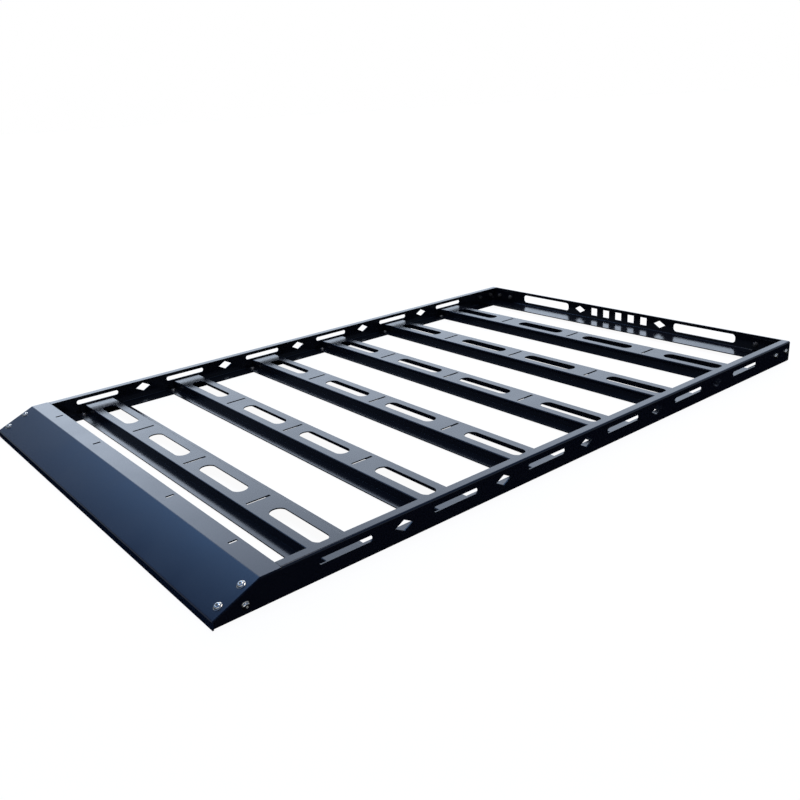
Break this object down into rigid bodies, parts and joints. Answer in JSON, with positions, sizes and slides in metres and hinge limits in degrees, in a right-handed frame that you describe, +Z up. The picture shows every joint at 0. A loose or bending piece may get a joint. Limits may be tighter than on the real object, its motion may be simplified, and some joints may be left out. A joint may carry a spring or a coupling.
{
  "type": "flat platform roof rack",
  "caption": "Flat platform roof rack of folded black sheet: slotted crossbars between channel side rails, a pierced rear rail and a sloped front fairing.",
  "frame": {"origin": "middle of the footprint, on the plane of the side rails' undersides", "axes": "+Y along the rack towards the rear rail, with the fairing at -Y; +Z up; +X across, towards the right-hand rail"},
  "size_m": [1.25, 1.95, 0.062],
  "materials": {
    "black_powder_coat": "satin powder coat",
    "stainless_fastener": "polished"
  },
  "bodies": {
    "root": {"fairing": "black_powder_coat", "side_rail_left": "black_powder_coat", "side_rail_right": "black_powder_coat", "rear_rail": "black_powder_coat", "front_bracket_left": "black_powder_coat", "front_bracket_right": "black_powder_coat", "rear_bracket_left": "black_powder_coat", "rear_bracket_right": "black_powder_coat", "crossbar_1": "black_powder_coat", "crossbar_2": "black_powder_coat", "crossbar_3": "black_powder_coat", "crossbar_4": "black_powder_coat", "crossbar_5": "black_powder_coat", "crossbar_6": "black_powder_coat"}
  },
  "joints": []
}
